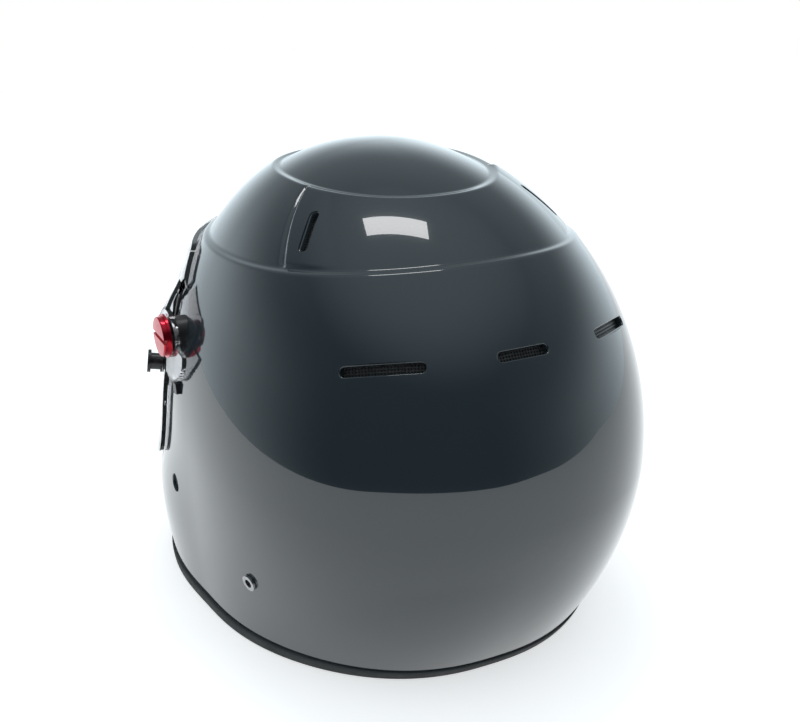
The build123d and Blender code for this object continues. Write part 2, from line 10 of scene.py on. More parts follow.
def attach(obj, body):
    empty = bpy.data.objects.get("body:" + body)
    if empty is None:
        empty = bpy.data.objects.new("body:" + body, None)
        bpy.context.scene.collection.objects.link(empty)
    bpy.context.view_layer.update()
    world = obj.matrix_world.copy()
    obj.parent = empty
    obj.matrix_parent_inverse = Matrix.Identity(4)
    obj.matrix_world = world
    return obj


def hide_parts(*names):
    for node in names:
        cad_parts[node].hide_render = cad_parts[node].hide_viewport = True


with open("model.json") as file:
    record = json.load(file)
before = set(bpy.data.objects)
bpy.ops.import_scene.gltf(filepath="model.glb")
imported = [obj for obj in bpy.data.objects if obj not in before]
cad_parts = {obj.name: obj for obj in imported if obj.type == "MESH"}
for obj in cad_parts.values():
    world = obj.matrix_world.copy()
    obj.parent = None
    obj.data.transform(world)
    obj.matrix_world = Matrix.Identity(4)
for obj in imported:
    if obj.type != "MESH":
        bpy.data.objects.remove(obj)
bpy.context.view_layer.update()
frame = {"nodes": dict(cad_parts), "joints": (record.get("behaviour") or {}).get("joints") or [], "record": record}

bl_info = {
    "name": "Full Face Helmet Look",
    "version": (1, 0, 0),
    "blender": (4, 5, 0),
    "location": "View3D > Sidebar > Helmet",
    "description": "Builds the painted shell, shield, hardware and padding round the helmet's solids",
    "category": "Object",
}

# The shell's outline, in millimetres and powers, nearly as the solids follow it.
# It is measured from the upright crown axis; AXIS_Y is where that axis stands.
MM = 0.001
MICRON = 1e-6
HALF_WIDTH = 128.0
REAR_REACH = 169.0
BROW_REACH = 141.0
BASE_HEIGHT = 270.0
WIDEST = 110.0
CROWN_SHIFT = 16.0
PLAN_POWER = 2.19
RISE_POWER = 2.14
SIDE_POWER = 2.10
TUCK_POWER = 1.74
SIDE_TUCK = 11.0
REAR_TUCK = 48.0
CHIN_FLARE = 12.0
CHIN_REACH = 24.5
CHIN_LEVEL = 51.0
CHIN_SPREAD = 49.0
CHIN_TURN = 0.78
CHIN_TURN_POWER = 1.5
SIDE_BLEND = 0.2
WALL = 3.5
CROWN_STEP = 2.5
BAND_LOW = 213.9
BAND_AHEAD = 60.0
BAND_RADIUS = 867.0
DOME_LOW = 254.7
DOME_SLOPE = 0.0143
TRIM_FLOOR = 2.0
PIVOT_AHEAD = 21.0
AXIS_Y = frame["joints"][0]["pos_m"][1] / MM + PIVOT_AHEAD

# Places on the shell, each as degrees of turn from the back and a level.
RIVET = (101.5, 73.0)
ANCHOR = (62.0, 51.0)
SCOOP = (121.0, 86.0)

# The dish on each side of the chin bar: its radius, half of its straight run and its fall.
SCOOP_RADIUS = 13.9
SCOOP_RUN = 7.0
SCOOP_POWER = 1.5

# The wedge at each crown slot. Its steep front is the rib, which leans by degrees of turn per millimetre
# of level. The wedge fades out towards the back, it ends short of both ledges by shares of their roll, and
# a shallow groove lies ahead of the rib.
RIB_TURN = 56.1
RIB_LEVEL = 224.3
RIB_LEAN = 6.7 / 24.5
RIB_FALL = 1.6
FADE_TURN = 39.0
FADE_LEVEL = 227.0
FADE_LEAN = 7.0 / 19.0
LEDGE_STEEPNESS = 1.3
DOME_CLEARANCE = 0.4
GROOVE_RUN = 2.8
GROOVE_SHARE = 0.7

# Columns and rows of the painted surface: half of each ledge's band in climb, and rows per stretch.
RIB_COLUMNS_FROM = 54.0
RIB_COLUMNS_TO = 67.0
RIB_COLUMN_STEP = 0.35
BAND_HALF = 0.028
DOME_HALF = 0.022
TOP_CLIMB = 0.985
BODY_ROWS = 78
LEDGE_ROWS = 16
STEP_ROWS = 22
DOME_ROWS = 26
INNER_SKIP = 4

# Openings of the shell. Rear, side and crown slots: turn, level, length, width and spin.
SLOT_DEPTH = 14.0
SLOT_REACH = 4.0
SLOTS = (
    (0.0, 193.8, 28.0, 4.8, 0.0),
    (27.5, 189.6, 42.0, 4.8, 9.0),
    (51.9, 238.8, 25.0, 4.2, 109.7),
)
# The rolled edge is a quarter circle in these steps, in degrees, and opens by a share above the paint.
EDGE_STEPS = (0, 15, 30, 45, 60, 72)
EDGE_OPENING_SHARE = 1.6
PATCH_REACH = 12.0
PATCH_SHARE = 0.62
PATCH_SAMPLES = 41
# Round holes: place, radius, rolled edge and depth. The slack keeps a hole's two half circles apart.
ROUND_HOLES = (
    (RIVET, 5.3, 0.7, 2.1),
    (RIVET, 2.45, 0.1, 9.0),
    (ANCHOR, 4.05, 0.2, 14.0),
)
ROUND_SLACK = 1e-3
EYE_BACK = -50.0
EYE_LOW = 122.0
EYE_HIGH = 197.0
EYE_SPREAD = 3.0
EYE_CORNER = 24.0
GRILLE_HALF = 31.0
GRILLE_LOW = 56.0
GRILLE_HIGH = 72.0
GRILLE_CORNER = 6.0
GRILLE_BACK = -95.0
BEYOND = 220.0

# The rubber bead on the bottom edge: where its middle lies inside the outline, and its half sizes.
BEAD_INSET = 1.6
BEAD_HALF_WIDTH = 3.3
BEAD_HALF_HEIGHT = 3.9
BEAD_SIDE_POWER = 0.4
BEAD_TOP_POWER = 0.5
BEAD_COLUMNS = 300
BEAD_ROWS = 36

# The chin strap: its section, how far it lies inside the skin, and the levels of its route. Each half:
# piece, solid, side, and where its lowest run passes from the wall inwards.
STRAP_WIDTH = 25.0
STRAP_THICK = 2.0
STRAP_INSET = 6.7
STRAP_TOP = 88.0
STRAP_BEND = 42.0
STRAP_LEVEL = 7.6
STRAP_HALVES = (
    ("strap_short_web", "chin_strap_short", 1, (100.0, 84.0, 69.0)),
    ("strap_long_web", "chin_strap_long", -1, (100.0, 60.0, 12.0)),
)

# The loop that holds the rings, and the end that is folded back and sewn on the short half.
LOOP_X = 66.0
LOOP_RADIUS = 2.7
LOOP_RISE = 2.3
LAP_ROUTE = ((69.0, 11.4), (72.0, 9.9), (78.0, 9.7), (94.0, 9.7))
LAP_WIDTH = 24.6
LAP_THICK = 1.8

# Pads: name, solid, turns in degrees, levels, and depths of the two faces inside the outline.
PADS = (
    ("cheek_cushion_left", "cheek_pad_left", (80.5, 133.0), (14.5, 117.5), 10.2, 43.6),
    ("cheek_cushion_right", "cheek_pad_right", (-80.5, -133.0), (14.5, 117.5), 10.2, 43.6),
    ("chin_cushion", "chin_pad", (156.0, 204.0), (20.5, 54.0), 4.2, 19.6),
    ("nape_roll", "neck_roll", (-74.0, 74.0), (12.4, 47.6), 4.4, 25.6),
)
PAD_CORNER_POWER = 5.0
PAD_RIM_SHARE = 0.3
PAD_COLUMNS = 120
PAD_BACK_RINGS = 16
PAD_FRONT_RINGS = 34
POLE_ANGLE = 0.04
PIPING_SIDES = 8
SOFT_EDGE = 80.0

# The crown lining: its lower edge at the back, how far that climbs over the eyes, its depths and seams.
LINING_LOW = 127.0
LINING_CLIMB = 76.0
LINING_STEP = 0.18
LINING_STEP_WIDTH = 0.3
LINING_BACK = 37.5
LINING_FRONT = 38.0
LINING_THICK = 6.6
LINING_ROUND = 1.5
LINING_EDGE_SHARE = 0.07
LINING_COLUMNS = 220
SEAM_COUNT = 6
SEAM_DEPTH = 0.35
SEAM_WIDTH = 0.09

# The camera, fitted to the photograph's outline: degrees from the back towards the left and above the
# floor, millimetres from the aim, and its shift in widths of the frame.
CAMERA_TURN = 26.1826001
CAMERA_RISE = 22.4511878
CAMERA_DISTANCE = 728.532
CAMERA_AIM = 135.0
CAMERA_SHIFT = (0.01013, 0.00303)
SENSOR_WIDTH = 36.0

# What gloss sees of the studio. A span is a range of the cosine to the bright side or of the rise.
WALL_SKEW = 0.12
WALL_SPAN = (-0.75, 0.75)
WALL_LEVEL = 1.3
WALL_FADE_SPAN = (0.05, 0.55)
WALL_FADE = 0.26
CEILING_SPAN = (0.5, 1.0)
CEILING_LEVEL = 0.56
STUDIO_COLOR = (0.83, 0.955, 1.02)

# The table top and the lamps, in metres. An offset is towards the camera and to its right.
TABLE_FAR = -1.8
TABLE_RIGHT = -1.7
TABLE_LEFT = 0.55
TABLE_NEAR = 0.95
TABLE_CORNER = 0.55
TABLE_GLOW = 0.58
TABLE_MIRRORED_GLOW = 0.48
CEILING_SIZE = (2.2, 2.2)
CEILING_OFFSET = (0.1, 0.0)
CEILING_HEIGHT = 2.0
PANEL_SIZE = (0.62, 0.22)
PANEL_OFFSET = (-0.265, -0.105)
PANEL_HEIGHT = 1.54


def outline(turn, climb, with_chin=True):
    """Points of the base outline. Plan view: a superellipse with a longer back than front.
    Above the widest level the radius and height follow a superellipse in the climb angle and the
    middle slides forward; below it the radius draws in by a power of the drop. A bell curve in
    height, growing smoothly towards the front, adds the chin bar. The front's share of both is a
    hyperbola of the turn's cosine, so that it sets in without a crease at the quarter turn."""
    turn, climb = np.broadcast_arrays(np.asarray(turn, float), np.asarray(climb, float))
    behind = np.maximum(np.cos(turn), 0)
    reach = np.where(behind > 0, REAR_REACH, BROW_REACH)
    plan = np.abs(np.sin(turn) / HALF_WIDTH) ** PLAN_POWER + np.abs(np.cos(turn) / reach) ** PLAN_POWER
    radius = plan ** (-1 / PLAN_POWER)
    rise = np.clip(climb, 0, 1) * np.pi / 2
    high = WIDEST + (BASE_HEIGHT - WIDEST) * np.sin(rise) ** (2 / RISE_POWER)
    narrowed = radius * np.maximum(np.cos(rise), 0) ** (2 / SIDE_POWER)
    lead = (np.sqrt(np.cos(turn) ** 2 + SIDE_BLEND**2) - np.cos(turn)) / 2
    tuck = SIDE_TUCK + (REAR_TUCK - SIDE_TUCK) * behind**2 - (CHIN_FLARE + SIDE_TUCK) * lead
    tucked = radius - tuck * np.maximum(-climb, 0) ** TUCK_POWER
    up = climb >= 0
    z = np.where(up, high, WIDEST * (1 + climb))
    radius = np.where(up, narrowed, tucked)
    slide = np.where(up, -CROWN_SHIFT * np.sin(rise) ** 2, 0)
    if with_chin:
        swell = 1 - np.exp(-((lead / CHIN_TURN) ** CHIN_TURN_POWER))
        radius = radius + CHIN_REACH * swell * np.exp(-(((z - CHIN_LEVEL) / CHIN_SPREAD) ** 2))
    return np.stack([radius * np.sin(turn), radius * np.cos(turn) + slide, z], -1)


def outward(turn, climb, with_chin=True):
    """Unit vectors square to the outline: the cross product of two short chords, turned outwards."""
    step = 1e-4
    along = outline(turn + step, climb, with_chin) - outline(turn - step, climb, with_chin)
    upper = outline(turn, np.minimum(climb + step, 1), with_chin)
    lower = outline(turn, np.maximum(climb - step, -1), with_chin)
    normal = np.cross(upper - lower, along)
    length = np.linalg.norm(normal, axis=-1, keepdims=True)
    normal = np.where(length > 1e-9, normal / np.maximum(length, 1e-9), np.array([0.0, 0.0, 1.0]))
    away = outline(turn, climb, with_chin) - np.array([0.0, 0.0, WIDEST])
    return normal * np.where((normal * away).sum(-1, keepdims=True) < 0, -1, 1)


def climb_at(z):
    """Climb whose level on the outline is z: the outline's height formula solved for the climb."""
    z = np.asarray(z, float)
    share = np.clip((z - WIDEST) / (BASE_HEIGHT - WIDEST), 0, 1)
    return np.where(z < WIDEST, z / WIDEST - 1, np.arcsin(share ** (RISE_POWER / 2)) / (np.pi / 2))


def smooth(t):
    """Cubic ramp from 0 to 1 with level ends."""
    t = np.clip(t, 0, 1)
    return t * t * (3 - 2 * t)


def unit(vectors):
    """Vectors scaled to a length of one."""
    return vectors / np.linalg.norm(vectors, axis=-1, keepdims=True)


def squared(wave, power):
    """Sine or cosine raised to a power below one with its sign kept, which squares off a circle."""
    return np.sign(wave) * np.abs(wave) ** power


def band_line(points):
    """Level of the lower ledge: a wide arc in the side view."""
    return BAND_LOW + (points[..., 1] + BAND_AHEAD) ** 2 / (2 * BAND_RADIUS)


def dome_line(points):
    """Level of the upper ledge: a straight line in the side view."""
    return DOME_LOW + DOME_SLOPE * points[..., 1]


def crossing(turn, line):
    """Climb at which the outline meets a ledge line, by halving the interval forty times."""
    low = np.zeros_like(turn)
    high = np.ones_like(turn)
    for _ in range(40):
        middle = (low + high) / 2
        points = outline(turn, middle)
        above = points[..., 2] > line(points)
        high = np.where(above, middle, high)
        low = np.where(above, low, middle)
    return middle


def place_on_skin(turn_degrees, level, spin=0.0):
    """Origin and axes of a place on the outline: Z points out, X lies level and is spun about Z."""
    turn = math.radians(turn_degrees)
    climb = float(climb_at(level))
    out = outward(turn, climb)
    level_axis = unit(np.cross([0, 0, 1], out))
    other = np.cross(out, level_axis)
    a = math.radians(spin)
    x_axis = level_axis * math.cos(a) + other * math.sin(a)
    return outline(turn, climb), x_axis, np.cross(out, x_axis), out


def skin(turn, climb, depth=0.0, detail=True):
    """Points of the painted surface: the outline moved in along its normal by the two soft ledges,
    by the dished side scoops, and out by the low wedge that ends in a rib ahead of each crown slot."""
    sizes = bpy.context.scene.helmet_shell
    points = outline(turn, climb)
    normals = outward(turn, climb)
    over_band = (points[..., 2] - band_line(points)) / (sizes.band_roll / MM) + 0.5
    over_dome = (points[..., 2] - dome_line(points)) / (sizes.dome_roll / MM) + 0.5
    inward = CROWN_STEP * (smooth(over_band) + smooth(over_dome))
    if detail:
        degrees = np.abs(np.degrees((turn + np.pi) % (2 * np.pi) - np.pi))
        rib = RIB_TURN + RIB_LEAN * (points[..., 2] - RIB_LEVEL)
        fade = FADE_TURN + FADE_LEAN * (points[..., 2] - FADE_LEVEL)
        fall = smooth((degrees - rib) / RIB_FALL)
        wedge = np.clip((degrees - fade) / (rib - fade), 0, 1) * (1 - fall)
        wedge = wedge - GROOVE_SHARE * fall * (1 - smooth((degrees - rib - RIB_FALL) / GROOVE_RUN))
        above = smooth(over_band * LEDGE_STEEPNESS - 1)
        on_band = above * (1 - smooth(over_dome * LEDGE_STEEPNESS + DOME_CLEARANCE))
        inward = inward - sizes.rib_height / MM * wedge * on_band
        origin, x_axis, y_axis, _ = place_on_skin(*SCOOP)
        local = points * np.where(points[..., :1] < 0, [-1, 1, 1], 1) - origin
        across = (local * x_axis).sum(-1)
        along = np.maximum(np.abs((local * y_axis).sum(-1)) - SCOOP_RUN, 0)
        near = np.clip(1 - (across**2 + along**2) / SCOOP_RADIUS**2, 0, 1)
        inward = inward + sizes.scoop_depth / MM * near**SCOOP_POWER
    return points - normals * (inward + depth)[..., None]


def to_frame(points):
    """Millimetres about the crown axis to metres in the helmet's frame."""
    return (np.asarray(points, float) + np.array([0.0, AXIS_Y, 0.0])) * MM


def link_object(name, data):
    """New object in the scene."""
    item = bpy.data.objects.new(name, data)
    bpy.context.scene.collection.objects.link(item)
    return item


def vertex_places(mesh):
    """Vertices of a mesh as rows of x, y and z."""
    places = np.zeros(len(mesh.vertices) * 3, np.float32)
    mesh.vertices.foreach_get("co", places)
    return places.reshape(-1, 3)


def triangle_corners(mesh):
    """Triangles of a mesh as rows of three vertex numbers."""
    mesh.calc_loop_triangles()
    corners = np.zeros(len(mesh.loop_triangles) * 3, np.int32)
    mesh.loop_triangles.foreach_get("vertices", corners)
    return corners.reshape(-1, 3)


def mesh_object(name, points, faces, sharp=35.0):
    """Object from points in millimetres and faces, smooth except over the sharp angle, with its faces
    turned outwards where the signed volume of a closed mesh comes out negative."""
    mesh = bpy.data.meshes.new(name)
    mesh.from_pydata(to_frame(points).tolist(), [], [list(f) for f in faces])
    mesh.update()
    piece = link_object(name, mesh)
    finish_mesh(piece, sharp)
    return piece


def signed_volume(mesh):
    """Sum of the tetrahedra between the origin and each triangle."""
    tri = vertex_places(mesh)[triangle_corners(mesh)].astype(float)
    return float((tri[:, 0] * np.cross(tri[:, 1], tri[:, 2])).sum() / 6)


def finish_mesh(piece, sharp=35.0):
    """Turns a closed piece's faces outwards and shades it smooth except over the sharp angle."""
    mesh = piece.data
    if signed_volume(mesh) < 0:
        mesh.flip_normals()
    mesh.shade_smooth()
    mesh.set_sharp_from_angle(angle=math.radians(sharp))
    mesh.update()


def grid_faces(rows, columns, wrap_rows=False):
    """Quads of a grid whose columns close on themselves, and its rows too if wrap_rows is set."""
    last = rows if wrap_rows else rows - 1
    r, c = np.meshgrid(np.arange(last), np.arange(columns), indexing="ij")
    r2 = (r + 1) % rows
    c2 = (c + 1) % columns
    quads = np.stack([r * columns + c, r * columns + c2, r2 * columns + c2, r2 * columns + c], -1)
    return quads.reshape(-1, 4).tolist()


def skinned(name, rows, first=None, last=None, wrap_rows=False, sharp=35.0):
    """Closed surface through rings of points, with a point or a flat face at either end."""
    rows = np.asarray(rows, float)
    count, columns = rows.shape[:2]
    points = rows.reshape(-1, 3)
    faces = grid_faces(count, columns, wrap_rows)
    ring = list(range(columns))
    for pole, base, flip in ((first, 0, True), (last, (count - 1) * columns, False)):
        if wrap_rows or pole is None:
            continue
        if isinstance(pole, str):
            face = [base + i for i in ring]
            faces.append(face[::-1] if flip else face)
            continue
        points = np.vstack([points, np.asarray(pole, float)[None]])
        tip = len(points) - 1
        fan = [[base + i, base + (i + 1) % columns, tip] for i in ring]
        faces += [f[::-1] for f in fan] if flip else fan
    return mesh_object(name, points, faces, sharp)


def cut_out(piece, tools):
    """Cuts closed tools out of a closed piece and drops the tools."""
    for tool in tools:
        modifier = piece.modifiers.new("cut", "BOOLEAN")
        modifier.operation = "DIFFERENCE"
        modifier.solver = "MANIFOLD"
        modifier.object = tool
        bpy.context.view_layer.update()
        result = bpy.data.meshes.new_from_object(piece.evaluated_get(bpy.context.evaluated_depsgraph_get()))
        piece.modifiers.clear()
        if len(result.polygons) == 0:
            raise RuntimeError(f"cutting {piece.name} with {tool.name} left nothing")
        piece.data = result
        bpy.data.objects.remove(tool)
    finish_mesh(piece)


def capsule(length, width, grow=0.0, count=56):
    """Closed line of a slot: two half circles joined by straight runs, pushed out by grow."""
    half = (length - width) / 2
    a = np.linspace(0, 2 * np.pi, count, endpoint=False) + np.pi / count
    radius = width / 2 + grow
    return np.stack([radius * np.cos(a) + half * np.sign(np.cos(a)), radius * np.sin(a)], -1)


def surface_under(place, reach):
    """Quadratic that gives the painted surface's height over a place's plane, fitted by least squares."""
    origin, x_axis, y_axis, out = place
    turn0 = math.atan2(origin[0], origin[1] + 0.6 * CROWN_SHIFT)
    climb0 = float(climb_at(origin[2]))
    spread = np.linspace(-reach, reach, PATCH_SAMPLES)
    turn, climb = np.meshgrid(turn0 + spread / 75, climb0 + spread * 0.0075)
    local = skin(turn, np.clip(climb, -1, 1), detail=False) - origin
    x = (local @ x_axis).ravel()
    y = (local @ y_axis).ravel()
    height = (local @ out).ravel()
    near = (np.abs(x) < reach) & (np.abs(y) < reach * 0.35)
    terms = np.stack([np.ones_like(x), x, y, x * x, x * y, y * y], -1)
    fit = np.linalg.lstsq(terms[near], height[near], rcond=None)[0]
    return lambda p: np.stack(
        [np.ones(len(p)), p[:, 0], p[:, 1], p[:, 0] ** 2, p[:, 0] * p[:, 1], p[:, 1] ** 2], -1
    ) @ fit


def slot_tool(place, length, width, edge, inward):
    """Cutter for a slot with a rolled edge: capsule rings that follow the surface and open out along a
    quarter circle just under it."""
    origin, x_axis, y_axis, out = place
    height = surface_under(place, max(length * PATCH_SHARE, PATCH_REACH))
    angles = np.radians(EDGE_STEPS)
    rings = [(0.0, -inward)] + [(edge * (1 - math.cos(a)), -edge * (1 - math.sin(a))) for a in angles]
    rings.append((edge * EDGE_OPENING_SHARE, SLOT_REACH))
    rows = []
    for grow, over in rings:
        flat = capsule(length, width, grow)
        rise = over if over in (-inward, SLOT_REACH) else height(flat) + over
        rise = np.broadcast_to(rise, (len(flat),))
        rows.append(origin + flat[:, :1] * x_axis + flat[:, 1:] * y_axis + rise[:, None] * out)
    return skinned("slot_tool", rows, "flat", "flat")


def mirrored_copy(piece, name):
    """The same piece on the wearer's right: x changes sign and the faces are turned back outwards."""
    mesh = piece.data.copy()
    mesh.name = name
    mirrored = vertex_places(mesh) * np.array([-1, 1, 1], np.float32)
    mesh.vertices.foreach_set("co", mirrored.ravel())
    mesh.update()
    twin = link_object(name, mesh)
    finish_mesh(twin)
    return twin


def side_prism(name, line):
    """Solid swept across the helmet from a closed line of (y, z) points in the side view."""
    rows = [np.column_stack([np.full(len(line), x), line]) for x in (-BEYOND, BEYOND)]
    return skinned(name, rows, "flat", "flat")


def rounded_line(corners, radii, steps=10):
    """Closed line with round corners: each corner becomes an arc tangent to its two sides."""
    corners = np.asarray(corners, float)
    line = []
    for i, radius in enumerate(radii):
        here = corners[i]
        back = unit(corners[i - 1] - here)
        ahead = unit(corners[(i + 1) % len(corners)] - here)
        if radius <= 0:
            line.append(here[None])
            continue
        half = math.acos(float(back @ ahead)) / 2
        middle = here + unit(back + ahead) * radius / math.sin(half)
        start = here + back * radius / math.tan(half) - middle
        t = np.linspace(0, 1, steps)[:, None]
        end = here + ahead * radius / math.tan(half) - middle
        arc = start * (1 - t) + end * t
        line.append(middle + unit(arc) * radius)
    return np.vstack(line)


def dress(piece, material, body, node_names=()):
    """Gives a piece its material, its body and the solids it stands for."""
    piece.data.materials.clear()
    piece.data.materials.append(material)
    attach(piece, body)
    if node_names:
        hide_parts(*node_names)


def body_holding(node):
    """Name of the moving body that a solid belongs to."""
    for body, members in frame["record"]["behaviour"]["bodies"].items():
        if node in members:
            return body
    raise RuntimeError(f"no body holds {node}")


def smooth_copy(node, maker, sharp=28.0):
    """A solid's own surface with its corners merged, so that it shades smoothly, in place of the solid."""
    source = frame["nodes"][node].data
    microns = np.round(vertex_places(source).astype(float) / MICRON).astype(np.int64)
    keys, index = np.unique(microns, axis=0, return_inverse=True)
    faces = index.ravel()[triangle_corners(source)]
    whole = (faces[:, 0] != faces[:, 1]) & (faces[:, 1] != faces[:, 2]) & (faces[:, 0] != faces[:, 2])
    mesh = bpy.data.meshes.new(node + "_look")
    mesh.from_pydata((keys * MICRON).tolist(), [], faces[whole].tolist())
    mesh.validate()
    piece = link_object(node + "_look", mesh)
    finish_mesh(piece, sharp)
    dress(piece, finish(maker), body_holding(node), (node,))


def copy_solids(maker, *nodes):
    """Smooth copies in one finish. A name that ends in a low line stands for a left and a right solid."""
    for node in nodes:
        names = [node + "left", node + "right"] if node.endswith("_") else [node]
        for name in names:
            smooth_copy(name, maker)


class Graph:
    """A node tree under construction."""

    def __init__(self, tree):
        self.tree = tree

    def add(self, kind, inputs=None, **settings):
        """Adds a node; each input is a socket to link or a value to set."""
        node = self.tree.nodes.new(kind)
        for key, value in settings.items():
            setattr(node, key, value)
        for key, value in (inputs or {}).items():
            if isinstance(value, bpy.types.NodeSocket):
                self.tree.links.new(value, node.inputs[key])
            else:
                node.inputs[key].default_value = value
        return node

    def span(self, value, low, high, to_low=0.0, to_high=1.0, **settings):
        """Maps the values from low to high onto another range."""
        ends = {"From Min": low, "From Max": high, "To Min": to_low, "To Max": to_high}
        return self.add("ShaderNodeMapRange", {"Value": value, **ends}, **settings).outputs["Result"]

    def math(self, operation, a, b):
        return self.add("ShaderNodeMath", {0: a, 1: b}, operation=operation).outputs[0]

    def mix(self, factor, a, b):
        """Value between a and b."""
        return self.add("ShaderNodeMix", {0: factor, 2: a, 3: b}, data_type="FLOAT").outputs[0]

    def mix_color(self, factor, a, b):
        """Colour between a and b, each of three parts."""
        inputs = {0: factor, 6: (*a, 1.0), 7: (*b, 1.0)}
        return self.add("ShaderNodeMix", inputs, data_type="RGBA").outputs[2]


class Finish(Graph):
    """A material under construction: a Principled shader fed by Object coordinates."""

    def __init__(self, name, color, roughness, metallic=0.0):
        self.material = bpy.data.materials.new(name)
        self.material.use_nodes = True
        super().__init__(self.material.node_tree)
        self.shader = self.tree.nodes["Principled BSDF"]
        self.color = color
        self.set(Base_Color=(*color, 1.0), Roughness=roughness, Metallic=metallic)
        self.where = self.add("ShaderNodeTexCoord").outputs["Object"]
        self.height = None

    def set(self, **values):
        for key, value in values.items():
            self.shader.inputs[key.replace("_", " ")].default_value = value

    def drive(self, key, socket):
        self.tree.links.new(socket, self.shader.inputs[key])

    def noise(self, scale, detail=3.0):
        inputs = {"Scale": scale, "Detail": detail, "Roughness": 0.55, "Vector": self.where}
        return self.add("ShaderNodeTexNoise", inputs).outputs["Fac"]

    def cells(self, scale, feature="F1"):
        inputs = {"Scale": scale, "Vector": self.where}
        return self.add("ShaderNodeTexVoronoi", inputs, feature=feature).outputs["Distance"]

    def waves(self, scale, distortion, direction, where):
        inputs = {"Scale": scale, "Distortion": distortion, "Vector": where}
        return self.add("ShaderNodeTexWave", inputs, bands_direction=direction).outputs["Fac"]

    def vary_color(self, factor, other):
        """Mixes the base colour with another by a factor from 0 to 1."""
        self.drive("Base Color", self.mix_color(factor, self.color, other))

    def vary_roughness(self, factor, low, high):
        self.drive("Roughness", self.span(factor, 0.3, 0.7, low, high))

    def bump(self, height, distance, strength=0.5):
        """Adds relief, on top of what an earlier bump gave."""
        inputs = {"Height": height, "Distance": distance, "Strength": strength}
        if self.height is not None:
            inputs["Normal"] = self.height
        self.height = self.add("ShaderNodeBump", inputs).outputs["Normal"]
        self.drive("Normal", self.height)
        return self


MATERIALS = {}


def finish(maker):
    """The material that a function below makes, made the first time that it is asked for."""
    if maker not in MATERIALS:
        MATERIALS[maker] = maker().material
    return MATERIALS[maker]


def painted_shell():
    """Deep gloss grey with a fine flake under a clear coat that has a trace of orange peel."""
    colors = bpy.context.scene.helmet_colors
    paint = Finish("shell_paint", tuple(colors.paint), 0.16)
    flake = paint.cells(9000.0)
    paint.vary_color(paint.span(flake, 0.2, 0.7), tuple(c * 1.25 for c in colors.paint))
    paint.set(Specular_IOR_Level=0.1, Coat_Weight=1.0, Coat_Roughness=0.012, Coat_IOR=1.65)
    return paint.bump(paint.noise(220.0, 2.0), 0.00002, 0.25)


def black_rubber():
    """Extruded rubber: near black, satin, with faint dust."""
    rubber = Finish("black_rubber", (0.05, 0.052, 0.053), 0.6)
    rubber.vary_color(rubber.span(rubber.noise(60.0), 0.45, 0.8), (0.06, 0.062, 0.063))
    rubber.vary_roughness(rubber.noise(90.0), 0.55, 0.7)
    rubber.set(Specular_IOR_Level=0.25)
    return rubber.bump(rubber.noise(1500.0, 2.0), 0.0001, 0.2)


def clear_shield():
    """Hard-coated clear plastic with a faint blue tint."""
    clear = Finish("clear_shield", (0.90, 0.915, 0.95), 0.02)
    clear.set(Transmission_Weight=1.0, IOR=1.46, Coat_Weight=0.3, Coat_Roughness=0.01)
    clear.vary_roughness(clear.noise(25.0), 0.005, 0.03)
    return clear


def red_anodised():
    """Aluminium dyed red: bright, with a fine grain and darker clouds."""
    colors = bpy.context.scene.helmet_colors
    red = Finish("red_anodised", tuple(colors.cap), 0.2, 0.85)
    red.vary_color(red.span(red.noise(160.0), 0.35, 0.75), tuple(c * 0.7 for c in colors.cap))
    red.vary_roughness(red.noise(400.0), 0.14, 0.26)
    red.set(Coat_Weight=0.3, Coat_Roughness=0.05)
    return red.bump(red.noise(2500.0, 1.0), 0.00004, 0.15)


def black_plastic():
    """Moulded black plastic with a fine spark grain."""
    plastic = Finish("black_plastic", (0.013, 0.013, 0.014), 0.35)
    plastic.vary_color(plastic.span(plastic.noise(300.0), 0.5, 0.85), (0.03, 0.03, 0.032))
    plastic.vary_roughness(plastic.noise(120.0), 0.28, 0.42)
    return plastic.bump(plastic.cells(2600.0), 0.00006, 0.35)


def washer_rubber():
    """Soft washer: matte black with a dusty edge."""
    soft = Finish("washer_rubber", (0.022, 0.022, 0.022), 0.6)
    soft.vary_color(soft.span(soft.noise(420.0), 0.5, 0.8), (0.05, 0.05, 0.05))
    return soft.bump(soft.noise(1800.0), 0.00008, 0.3)


def zinc_steel():
    """Zinc-plated steel: grey with small cloudy patches."""
    steel = Finish("zinc_steel", (0.52, 0.52, 0.53), 0.3, 1.0)
    steel.vary_color(steel.span(steel.noise(240.0), 0.35, 0.75), (0.38, 0.38, 0.40))
    steel.vary_roughness(steel.noise(500.0), 0.2, 0.42)
    return steel.bump(steel.noise(3000.0, 1.0), 0.00003, 0.2)


def black_oxide():
    """Blackened screw steel."""
    oxide = Finish("black_oxide", (0.03, 0.03, 0.033), 0.35, 0.9)
    oxide.vary_roughness(oxide.noise(600.0), 0.28, 0.45)
    return oxide.bump(oxide.noise(2600.0, 1.0), 0.00003, 0.2)


def vent_screen():
    """Black screen with the faint shine of coated wire."""
    screen = Finish("vent_screen", (0.02, 0.02, 0.021), 0.4)
    screen.vary_color(screen.span(screen.noise(900.0), 0.4, 0.8), (0.07, 0.07, 0.072))
    return screen.bump(screen.cells(3200.0), 0.0001, 0.4)


def bead_foam():
    """Moulded bead foam: packed cells that meet in fine lines."""
    foam = Finish("bead_foam", (0.045, 0.045, 0.048), 0.75)
    edge = foam.cells(330.0, "DISTANCE_TO_EDGE")
    foam.vary_color(foam.span(edge, 0.0, 0.12, 1.0, 0.0), (0.02, 0.02, 0.021))
    return foam.bump(foam.span(edge, 0.0, 0.2), 0.0004, 0.5)


